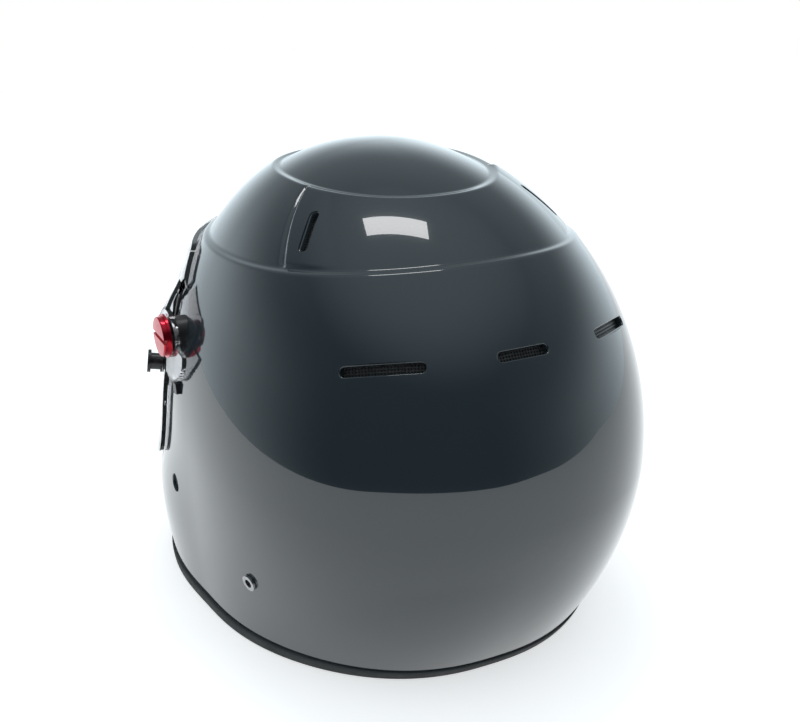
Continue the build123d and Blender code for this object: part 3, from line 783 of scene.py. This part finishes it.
def knit_cloth():
    """Knitted lining: rows of small loops from two crossed waves, with a soft sheen."""
    cloth = Finish("knit_cloth", (0.022, 0.022, 0.025), 0.85)
    rows = cloth.waves(420.0, 1.2, "X", cloth.where)
    weave = cloth.math("MULTIPLY", rows, cloth.waves(420.0, 1.2, "Z", cloth.where))
    fuzz = cloth.noise(2200.0, 2.0)
    cloth.vary_color(cloth.span(weave, 0.0, 0.8), (0.055, 0.055, 0.06))
    cloth.set(Sheen_Weight=0.35, Sheen_Roughness=0.5)
    cloth.bump(weave, 0.0005, 0.6)
    return cloth.bump(fuzz, 0.0003, 0.3)


def strap_webbing():
    """Woven webbing: ribs across the strap and slanted fine yarns, from the strap's own map."""
    web = Finish("strap_webbing", (0.02, 0.02, 0.021), 0.7)
    along = web.add("ShaderNodeUVMap").outputs["UV"]
    ribs = web.waves(130.0, 0.3, "X", along)
    yarn = web.waves(260.0, 0.6, "DIAGONAL", along)
    web.vary_color(web.span(yarn, 0.1, 0.9), (0.055, 0.055, 0.058))
    web.set(Sheen_Weight=0.2, Sheen_Roughness=0.4)
    web.bump(ribs, 0.0004, 0.6)
    return web.bump(yarn, 0.0002, 0.4)


def polished_ring():
    """Bright drawn wire with light handling marks."""
    bright = Finish("polished_ring", (0.72, 0.72, 0.74), 0.12, 1.0)
    bright.vary_roughness(bright.noise(260.0), 0.07, 0.2)
    return bright.bump(bright.noise(2400.0, 1.0), 0.00003, 0.15)


def measure(name, description, default, unit="LENGTH"):
    """A number that the panel shows, a length in metres unless another unit is named."""
    return FloatProperty(name=name, description=description, default=default, unit=unit)


class HelmetShellSizes(bpy.types.PropertyGroup):
    """Sizes of the painted shell's surface detail."""

    band_roll: measure("Lower ledge", "Height over which the lower crown ledge rolls", 0.0038)
    dome_roll: measure("Upper ledge", "Height over which the upper crown ledge rolls", 0.0026)
    rib_height: measure("Rib height", "How far the wedge at a crown slot stands out", 0.0013)
    scoop_depth: measure("Scoop depth", "Depth of the dish on each side of the chin bar", 0.0023)
    slot_edge: measure("Slot edge", "Radius of the rolled edge round a vent slot", 0.0009)
    turns: IntProperty(
        name="Columns",
        description="Columns of faces round the shell",
        default=272,
        min=48,
    )


class HelmetColors(bpy.types.PropertyGroup):
    """Colours that a user would change."""

    paint: FloatVectorProperty(
        name="Paint",
        description="Colour of the shell",
        default=(0.0215, 0.0285, 0.034),
        subtype="COLOR",
    )
    cap: FloatVectorProperty(
        name="Pivot cap",
        description="Colour of the shield's pivot caps",
        default=(0.62, 0.012, 0.035),
        subtype="COLOR",
    )


class HelmetPadSizes(bpy.types.PropertyGroup):
    """Sizes of the padding."""

    piping: measure("Piping", "Thickness of the sewn edge on each pad", 0.0026)


class HelmetStageSizes(bpy.types.PropertyGroup):
    """Camera and light levels."""

    lens: measure("Lens", "Focal length on a 36 mm sensor", 0.055242, "CAMERA")
    ambient: FloatProperty(
        name="Ambient",
        description="Even light on matt surfaces",
        default=0.62,
        min=0.0,
    )
    ceiling_power: measure("Ceiling", "Power of the large ceiling light", 9.0, "POWER")
    panel_power: measure("Panel", "Power of the small bright panel", 3.0, "POWER")


class HELMET_OT_shell(bpy.types.Operator):
    """Painted shell: a closed wall from the outline, with ledges, ribs and scoops, then its openings"""

    bl_idname = "helmet.shell"
    bl_label = "Build Shell"

    def execute(self, context):
        sizes = context.scene.helmet_shell
        base = np.linspace(-np.pi, np.pi, sizes.turns, endpoint=False)
        left = np.arange(RIB_COLUMNS_FROM, RIB_COLUMNS_TO, RIB_COLUMN_STEP)
        right = np.arange(-RIB_COLUMNS_TO, -RIB_COLUMNS_FROM, RIB_COLUMN_STEP)
        turn = np.unique(np.round(np.concatenate([base, np.radians(right), np.radians(left)]), 6))
        low = np.full_like(turn, float(climb_at(TRIM_FLOOR)))
        band = crossing(turn, band_line)
        dome = crossing(turn, dome_line)
        stretches = (
            (low, band - BAND_HALF, BODY_ROWS),
            (band - BAND_HALF, band + BAND_HALF, LEDGE_ROWS),
            (band + BAND_HALF, dome - DOME_HALF, STEP_ROWS),
            (dome - DOME_HALF, dome + DOME_HALF, LEDGE_ROWS),
            (dome + DOME_HALF, np.full_like(turn, TOP_CLIMB), DOME_ROWS),
        )
        climbs = []
        for start, end, count in stretches:
            climbs += [start + (end - start) * (i / count) for i in range(count)]
        climbs = np.array(climbs + [end])
        outer = skin(turn[None], climbs)
        inner = skin(turn[None], climbs[::INNER_SKIP], WALL, detail=False)
        rows = np.concatenate([outer[::-1], inner])
        crown = skin(np.array(0.0), np.array(1.0))
        shell = skinned("shell_paint", rows, crown, crown - np.array([0.0, 0.0, WALL]))
        edge = sizes.slot_edge / MM
        holes = []
        for degrees, level, length, width, spin in SLOTS:
            holes.append((place_on_skin(degrees, level, spin), length, width, edge, SLOT_DEPTH))
        for place, radius, roll, depth in ROUND_HOLES:
            holes.append((place_on_skin(*place), 2 * radius, 2 * radius - ROUND_SLACK, roll, depth))
        tools = []
        for hole in holes:
            tool = slot_tool(*hole)
            tools.append(tool)
            origin = hole[0][0]
            if origin[0] > edge:
                tools.append(mirrored_copy(tool, "slot_tool_right"))
        eye = [
            (EYE_BACK, EYE_LOW),
            (EYE_BACK, EYE_HIGH),
            (-BEYOND, EYE_HIGH + EYE_SPREAD),
            (-BEYOND, EYE_LOW - EYE_SPREAD),
        ]
        tools.append(side_prism("eye_tool", rounded_line(eye, [EYE_CORNER, EYE_CORNER, 0, 0])))
        window = [
            (-GRILLE_HALF, GRILLE_LOW),
            (GRILLE_HALF, GRILLE_LOW),
            (GRILLE_HALF, GRILLE_HIGH),
            (-GRILLE_HALF, GRILLE_HIGH),
        ]
        x, z = rounded_line(window, [GRILLE_CORNER] * 4).T
        rows = [np.column_stack([x, np.full_like(x, y), z]) for y in (-BEYOND, GRILLE_BACK)]
        tools.append(skinned("grille_tool", rows, "flat", "flat"))
        cut_out(shell, tools)
        dress(shell, finish(painted_shell), "shell", ("outer_shell",))
        return {"FINISHED"}


class HELMET_OT_trim(bpy.types.Operator):
    """Rubber bead on the bottom edge and the seal round the eye opening"""

    bl_idname = "helmet.trim"
    bl_label = "Build Rubber Trim"

    def execute(self, context):
        turn = np.linspace(-np.pi, np.pi, BEAD_COLUMNS, endpoint=False)
        a = np.linspace(0, 2 * np.pi, BEAD_ROWS, endpoint=False)
        depth = BEAD_INSET + BEAD_HALF_WIDTH * squared(np.cos(a), BEAD_SIDE_POWER)
        level = BEAD_HALF_HEIGHT * (1 + squared(np.sin(a), BEAD_TOP_POWER))
        climbs = climb_at(level)[:, None]
        rows = outline(turn[None], climbs) - outward(turn[None], climbs) * depth[:, None, None]
        rows[..., 2] = level[:, None]
        bead = skinned("edge_bead", rows, wrap_rows=True)
        dress(bead, finish(black_rubber), "shell", ("edge_trim",))
        copy_solids(black_rubber, "eyeport_seal")
        return {"FINISHED"}


class HELMET_OT_shield(bpy.types.Operator):
    """Clear shield with its posts and screws"""

    bl_idname = "helmet.shield"
    bl_label = "Build Shield"

    def execute(self, context):
        smooth_copy("face_shield", clear_shield, 24.0)
        copy_solids(black_plastic, "tear_off_post_")
        copy_solids(black_oxide, "post_screw_")
        return {"FINISHED"}


class HELMET_OT_pivots(bpy.types.Operator):
    """Shield pivots: base plate, bushing, washer, red cap, nut and the pawl below"""

    bl_idname = "helmet.pivots"
    bl_label = "Build Pivots"

    def execute(self, context):
        copy_solids(black_plastic, "pivot_base_", "pivot_bushing_", "detent_pawl_")
        copy_solids(washer_rubber, "pivot_washer_")
        copy_solids(red_anodised, "pivot_cap_")
        copy_solids(zinc_steel, "pivot_nut_")
        return {"FINISHED"}


class HELMET_OT_vents(bpy.types.Operator):
    """Screens behind the slots, and the chin grille with its screen"""

    bl_idname = "helmet.vents"
    bl_label = "Build Vents"

    def execute(self, context):
        copy_solids(vent_screen, "rear_screen", "side_screen_", "crown_screen_", "chin_screen")
        copy_solids(black_plastic, "chin_grille")
        return {"FINISHED"}


class HELMET_OT_anchors(bpy.types.Operator):
    """Threaded anchors, their washers and plates, the strap rivets and the pad studs"""

    bl_idname = "helmet.anchors"
    bl_label = "Build Anchors"

    def execute(self, context):
        copy_solids(zinc_steel, "anchor_insert_", "anchor_plate_", "strap_rivet_")
        copy_solids(washer_rubber, "anchor_washer_")
        copy_solids(black_plastic, "cheek_studs_")
        return {"FINISHED"}


def ribbon(name, path, centre_y, width=STRAP_WIDTH, thick=STRAP_THICK, closed=False):
    """Flat webbing: a rounded rectangle carried along a line of (x, z) points, with a map that runs
    along the strap in metres and across it."""
    path = np.asarray(path, float)
    if closed:
        tangent = np.roll(path, -1, 0) - np.roll(path, 1, 0)
    else:
        tangent = np.gradient(path, axis=0)
    tangent = unit(tangent)
    side = np.stack([-tangent[:, 1], tangent[:, 0]], -1)
    a = np.linspace(0, 2 * np.pi, 40, endpoint=False)
    across = width / 2 * squared(np.cos(a), 0.12)
    up = thick / 2 * squared(np.sin(a), 0.45)
    x = path[:, :1] + side[:, :1] * up
    z = path[:, 1:] + side[:, 1:] * up
    y = np.broadcast_to(centre_y + across, x.shape)
    rows = np.stack([x, y, z], -1)
    ends = (None, None) if closed else ("flat", "flat")
    piece = skinned(name, rows, *ends, wrap_rows=closed, sharp=50.0)
    places = vertex_places(piece.data)
    run = np.concatenate([[0], np.cumsum(np.linalg.norm(np.diff(path, axis=0), axis=1))])
    along = np.repeat(run, len(a)) * MM
    corner = np.zeros(len(piece.data.loops), np.int32)
    piece.data.loops.foreach_get("vertex_index", corner)
    layer = piece.data.uv_layers.new(name="UVMap")
    table = np.column_stack([along, places[:, 1]])[corner]
    layer.data.foreach_set("uv", table.astype(np.float32).ravel())
    return piece


def cut_corners(path, rounds=4):
    """Rounds a line: each pass replaces a corner by points a quarter and three quarters along its sides."""
    path = np.asarray(path, float)
    for _ in range(rounds):
        early = path[:-1] * 0.75 + path[1:] * 0.25
        late = path[:-1] * 0.25 + path[1:] * 0.75
        middle = np.stack([early, late], 1).reshape(-1, path.shape[1])
        path = np.vstack([path[:1], middle, path[-1:]])
    return path


class HELMET_OT_strap(bpy.types.Operator):
    """Chin strap in two halves, the loop that holds the rings, the tip, the stud and the rings"""

    bl_idname = "helmet.strap"
    bl_label = "Build Chin Strap"

    def execute(self, context):
        centre_y = place_on_skin(*RIVET)[0][1]
        levels = np.array([STRAP_TOP, RIVET[1], STRAP_BEND, STRAP_LEVEL])
        skin_x = outline(math.radians(RIVET[0]), climb_at(levels))[:, 0]
        held = np.column_stack([skin_x - STRAP_INSET, levels])
        webbing = finish(strap_webbing)
        for name, node, side, stations in STRAP_HALVES:
            route = np.vstack([held, [(x, STRAP_LEVEL) for x in stations]]) * [side, 1]
            dress(ribbon(name, cut_corners(route, 4), centre_y), webbing, "shell", (node,))
        a = np.linspace(0, 2 * np.pi, 48, endpoint=False)
        x = LOOP_X + LOOP_RADIUS * np.cos(a)
        z = STRAP_LEVEL + LOOP_RADIUS * np.sin(a) + LOOP_RISE * np.sign(np.sin(a))
        ring_loop = ribbon("strap_loop_web", np.stack([x, z], -1), centre_y, closed=True)
        dress(ring_loop, webbing, "shell")
        lap = ribbon("strap_lap_web", cut_corners(LAP_ROUTE, 3), centre_y, LAP_WIDTH, LAP_THICK)
        dress(lap, webbing, "shell")
        copy_solids(black_plastic, "strap_tip")
        copy_solids(polished_ring, "strap_stud", "ring_upper", "ring_lower")
        return {"FINISHED"}


def pad_surface(turns, levels, near_depth, far_depth):
    """Rows of a crowned pad between two offset surfaces. A disc of rings is spread over a rounded
    rectangle in turn and level; the face against the shell lies at near_depth, the other swells to
    far_depth by one minus a power of the distance from the middle, and both meet at a rounded rim."""
    a = np.linspace(0, 2 * np.pi, PAD_COLUMNS, endpoint=False)
    power = PAD_CORNER_POWER
    corner = (np.abs(np.cos(a)) ** power + np.abs(np.sin(a)) ** power) ** (-1 / power)
    r_back = np.sin(np.linspace(POLE_ANGLE, np.pi / 2, PAD_BACK_RINGS))
    r_front = np.sin(np.linspace(np.pi / 2, POLE_ANGLE, PAD_FRONT_RINGS))[1:]
    radius = np.concatenate([r_back, r_front])[:, None]
    swell_back = PAD_RIM_SHARE * r_back**10
    swell_front = PAD_RIM_SHARE + (1 - PAD_RIM_SHARE) * (1 - r_front**5) ** 0.55
    share = np.concatenate([swell_back, swell_front])[:, None]
    u = radius * np.cos(a) * corner
    v = radius * np.sin(a) * corner
    turn = np.radians((turns[0] + turns[1]) / 2 + (turns[1] - turns[0]) / 2 * u)
    level = (levels[0] + levels[1]) / 2 + (levels[1] - levels[0]) / 2 * v
    climb = climb_at(level)
    near = outline(turn, climb) - outward(turn, climb) * near_depth
    far = outline(turn, climb, False) - outward(turn, climb, False) * far_depth
    rows = near + (far - near) * share[..., None]
    rim_row = rows[PAD_BACK_RINGS - 1]
    return rows, rim_row


def pad_piece(name, node, turns, levels, near_depth, far_depth):
    """Pad with its piping: the rim's line carries a thin sewn tube."""
    rows, rim_row = pad_surface(turns, levels, near_depth, far_depth)
    pad = skinned(name, rows, rows[0].mean(0), rows[-1].mean(0), sharp=SOFT_EDGE)
    dress(pad, finish(knit_cloth), "shell", (node,))
    piping = bpy.context.scene.helmet_pads.piping / MM / 2
    line = np.vstack([rim_row, rim_row[:2]])
    tangent = unit(np.gradient(line, axis=0)[:-2])
    side = unit(np.cross(tangent, [0.12, 0.2, 0.97]))
    other = np.cross(tangent, side)
    b = np.linspace(0, 2 * np.pi, PIPING_SIDES, endpoint=False)[:, None, None]
    tube = rim_row[None] + piping * (np.cos(b) * side[None] + np.sin(b) * other[None])
    cord = skinned(name + "_piping", tube, wrap_rows=True, sharp=SOFT_EDGE)
    dress(cord, finish(knit_cloth), "shell")


def crown_lining():
    """Quilted lining of the crown: two offset surfaces that meet at a rounded lower edge, which rises
    over the eyes. Narrow bell curves thin it along the seams that run up to the top."""
    turn = np.linspace(-np.pi, np.pi, LINING_COLUMNS, endpoint=False)
    front = smooth((-np.cos(turn) - LINING_STEP) / LINING_STEP_WIDTH)
    start = climb_at(LINING_LOW + LINING_CLIMB * front)
    shares = np.concatenate([np.linspace(0, 0.12, 10), np.linspace(0.14, TOP_CLIMB, 46)])
    climbs = start[None] + (1 - start[None]) * shares[:, None]
    edge = np.clip(shares / LINING_EDGE_SHARE, 0, 1)
    round_edge = np.sqrt(1 - (1 - edge) ** 2)
    seam = np.abs(np.sin(turn * SEAM_COUNT / 2)) / SEAM_WIDTH
    channel = 1 - SEAM_DEPTH * np.exp(-(seam**2))
    points = outline(turn[None], climbs, False)
    normals = outward(turn[None], climbs, False)
    near = points - normals * (LINING_BACK + LINING_ROUND * (1 - round_edge))[:, None, None]
    thick = LINING_THICK * round_edge[:, None] * channel[None]
    far = points - normals * (LINING_FRONT + thick)[..., None]
    rows = np.concatenate([near[::-1], far])
    return skinned("crown_lining", rows, near[-1].mean(0), far[-1].mean(0), sharp=SOFT_EDGE)


class HELMET_OT_padding(bpy.types.Operator):
    """Cheek pads, chin pad, neck roll, crown lining and the bead foam behind them"""

    bl_idname = "helmet.padding"
    bl_label = "Build Padding"

    def execute(self, context):
        for pad in PADS:
            pad_piece(*pad)
        lining = crown_lining()
        dress(lining, finish(knit_cloth), "shell", ("comfort_liner",))
        copy_solids(bead_foam, "impact_liner")
        return {"FINISHED"}


class HELMET_OT_stage(bpy.types.Operator):
    """Pale floor, soft light and the camera at the photograph's angle"""

    bl_idname = "helmet.stage"
    bl_label = "Build Stage"

    def execute(self, context):
        scene = context.scene
        scene.view_settings.view_transform = "Standard"
        turn = math.radians(CAMERA_TURN)
        rise = math.radians(CAMERA_RISE)
        toward = np.array([math.sin(turn), math.cos(turn), 0.0])
        right = np.array([-math.cos(turn), math.sin(turn), 0.0])
        self.build_camera(scene, toward * math.cos(rise) + [0.0, 0.0, math.sin(rise)], right)
        self.build_world(scene, toward, right)
        self.build_floor(scene)
        self.build_lights(scene, toward, right)
        return {"FINISHED"}

    def build_camera(self, scene, back, right):
        """Camera on the line back from its aim, upright."""
        data = bpy.data.cameras.new("photo_camera")
        data.lens = scene.helmet_stage.lens / MM
        data.sensor_width = SENSOR_WIDTH
        data.shift_x, data.shift_y = CAMERA_SHIFT
        camera = link_object("photo_camera", data)
        turned = Matrix((right, np.cross(back, right), back)).transposed().to_4x4()
        spot = to_frame(np.array([0.0, 0.0, CAMERA_AIM]) + back * CAMERA_DISTANCE)
        camera.matrix_world = Matrix.Translation(Vector(spot)) @ turned
        scene.camera = camera

    def build_world(self, scene, toward, right):
        """White to the camera and through clear pieces. Gloss sees walls that are dark behind the
        camera, bright ahead of it and dimmer upwards, under a soft ceiling; matt surfaces see one level."""
        world = bpy.data.worlds.new("studio")
        scene.world = world
        world.use_nodes = True
        world.node_tree.nodes.clear()
        sky = Graph(world.node_tree)
        where = sky.add("ShaderNodeTexCoord").outputs["Generated"]
        bright_side = unit(WALL_SKEW * right - toward * math.cos(math.radians(CAMERA_RISE)))
        inputs = {0: where, 1: bright_side.tolist()}
        facing = sky.add("ShaderNodeVectorMath", inputs, operation="DOT_PRODUCT").outputs["Value"]
        height = sky.add("ShaderNodeSeparateXYZ", {0: where}).outputs["Z"]
        soft = {"interpolation_type": "SMOOTHSTEP"}
        walls = sky.span(facing, *WALL_SPAN, 0.0, WALL_LEVEL, **soft)
        fade = sky.span(height, *WALL_FADE_SPAN, 1.0, WALL_FADE, **soft)
        ceiling = sky.span(height, *CEILING_SPAN, 0.0, CEILING_LEVEL, **soft)
        studio = sky.math("MAXIMUM", sky.math("MULTIPLY", walls, fade), ceiling)
        rays = sky.add("ShaderNodeLightPath").outputs
        lit = sky.mix(rays["Is Glossy Ray"], scene.helmet_stage.ambient, studio)
        seen = sky.math("MAXIMUM", rays["Is Camera Ray"], rays["Is Transmission Ray"])
        color = sky.mix_color(seen, STUDIO_COLOR, (1.0, 1.0, 1.0))
        inputs = {"Color": color, "Strength": sky.mix(seen, lit, 1.0)}
        glow = sky.add("ShaderNodeBackground", inputs).outputs[0]
        sky.add("ShaderNodeOutputWorld", {"Surface": glow})

    def build_floor(self, scene):
        """Table top with one round corner: pale and matt, with a glow that the lamps don't give, for the
        camera, gloss and clear pieces alone."""
        bend = np.linspace(0, np.pi / 2, 48)
        x = TABLE_LEFT - TABLE_CORNER * (1 - np.cos(bend))
        y = TABLE_NEAR - TABLE_CORNER * (1 - np.sin(bend))
        corners = [(TABLE_RIGHT, TABLE_FAR, 0.0), (TABLE_LEFT, TABLE_FAR, 0.0)]
        corners += np.column_stack([x, y, 0 * bend]).tolist() + [(TABLE_RIGHT, TABLE_NEAR, 0.0)]
        mesh = bpy.data.meshes.new("table_top")
        mesh.from_pydata(corners, [], [tuple(range(len(corners)))])
        table = link_object("table_top", mesh)
        top = Finish("table_white", (0.8, 0.8, 0.8), 0.9)
        rays = top.add("ShaderNodeLightPath").outputs
        seen = top.math("MAXIMUM", rays["Is Camera Ray"], rays["Is Transmission Ray"])
        seen = top.math("MULTIPLY", seen, TABLE_GLOW)
        mirrored = top.math("MULTIPLY", rays["Is Glossy Ray"], TABLE_MIRRORED_GLOW)
        top.set(Emission_Color=(1.0, 1.0, 1.0, 1.0))
        top.drive("Emission Strength", top.math("MAXIMUM", seen, mirrored))
        mesh.materials.append(top.material)

    def build_lights(self, scene, toward, right):
        """A wide ceiling light that gloss doesn't show, and a small bright panel that it does."""
        levels = scene.helmet_stage
        face = Matrix((right, np.cross([0, 0, 1], right), (0, 0, 1))).transposed().to_4x4()
        for name, power, size, offset, height, shown in (
            ("ceiling_light", levels.ceiling_power, CEILING_SIZE, CEILING_OFFSET, CEILING_HEIGHT, False),
            ("bright_panel", levels.panel_power, PANEL_SIZE, PANEL_OFFSET, PANEL_HEIGHT, True),
        ):
            lamp = bpy.data.lights.new(name, "AREA")
            lamp.shape = "RECTANGLE"
            lamp.size, lamp.size_y = size
            lamp.energy = power
            holder = link_object(name, lamp)
            spot = toward * offset[0] + right * offset[1] + [0.0, 0.0, height]
            holder.matrix_world = Matrix.Translation(Vector(spot)) @ face
            holder.visible_glossy = shown


class HELMET_PT_panel(bpy.types.Panel):
    """Lists the helmet's sizes and build steps"""

    bl_idname = "HELMET_PT_panel"
    bl_label = "Helmet"
    bl_space_type = "VIEW_3D"
    bl_region_type = "UI"
    bl_category = "Helmet"

    def draw(self, context):
        for group in ("helmet_shell", "helmet_colors", "helmet_pads", "helmet_stage"):
            values = getattr(context.scene, group)
            for key in type(values).__annotations__:
                self.layout.prop(values, key)
        for operator in OPERATORS:
            self.layout.operator(operator.bl_idname)


OPERATORS = (
    HELMET_OT_shell,
    HELMET_OT_trim,
    HELMET_OT_shield,
    HELMET_OT_pivots,
    HELMET_OT_vents,
    HELMET_OT_anchors,
    HELMET_OT_strap,
    HELMET_OT_padding,
    HELMET_OT_stage,
)
GROUPS = {
    "helmet_shell": HelmetShellSizes,
    "helmet_colors": HelmetColors,
    "helmet_pads": HelmetPadSizes,
    "helmet_stage": HelmetStageSizes,
}


def register():
    for group in GROUPS.values():
        bpy.utils.register_class(group)
    for key, group in GROUPS.items():
        setattr(bpy.types.Scene, key, PointerProperty(type=group))
    for operator in OPERATORS:
        bpy.utils.register_class(operator)
    bpy.utils.register_class(HELMET_PT_panel)


def unregister():
    bpy.utils.unregister_class(HELMET_PT_panel)
    for operator in reversed(OPERATORS):
        bpy.utils.unregister_class(operator)
    for key in GROUPS:
        delattr(bpy.types.Scene, key)
    for group in GROUPS.values():
        bpy.utils.unregister_class(group)


def main():
    register()
    bpy.ops.helmet.shell()
    bpy.ops.helmet.trim()
    bpy.ops.helmet.shield()
    bpy.ops.helmet.pivots()
    bpy.ops.helmet.vents()
    bpy.ops.helmet.anchors()
    bpy.ops.helmet.strap()
    bpy.ops.helmet.padding()
    bpy.ops.helmet.stage()


if __name__ == "__main__":
    main()
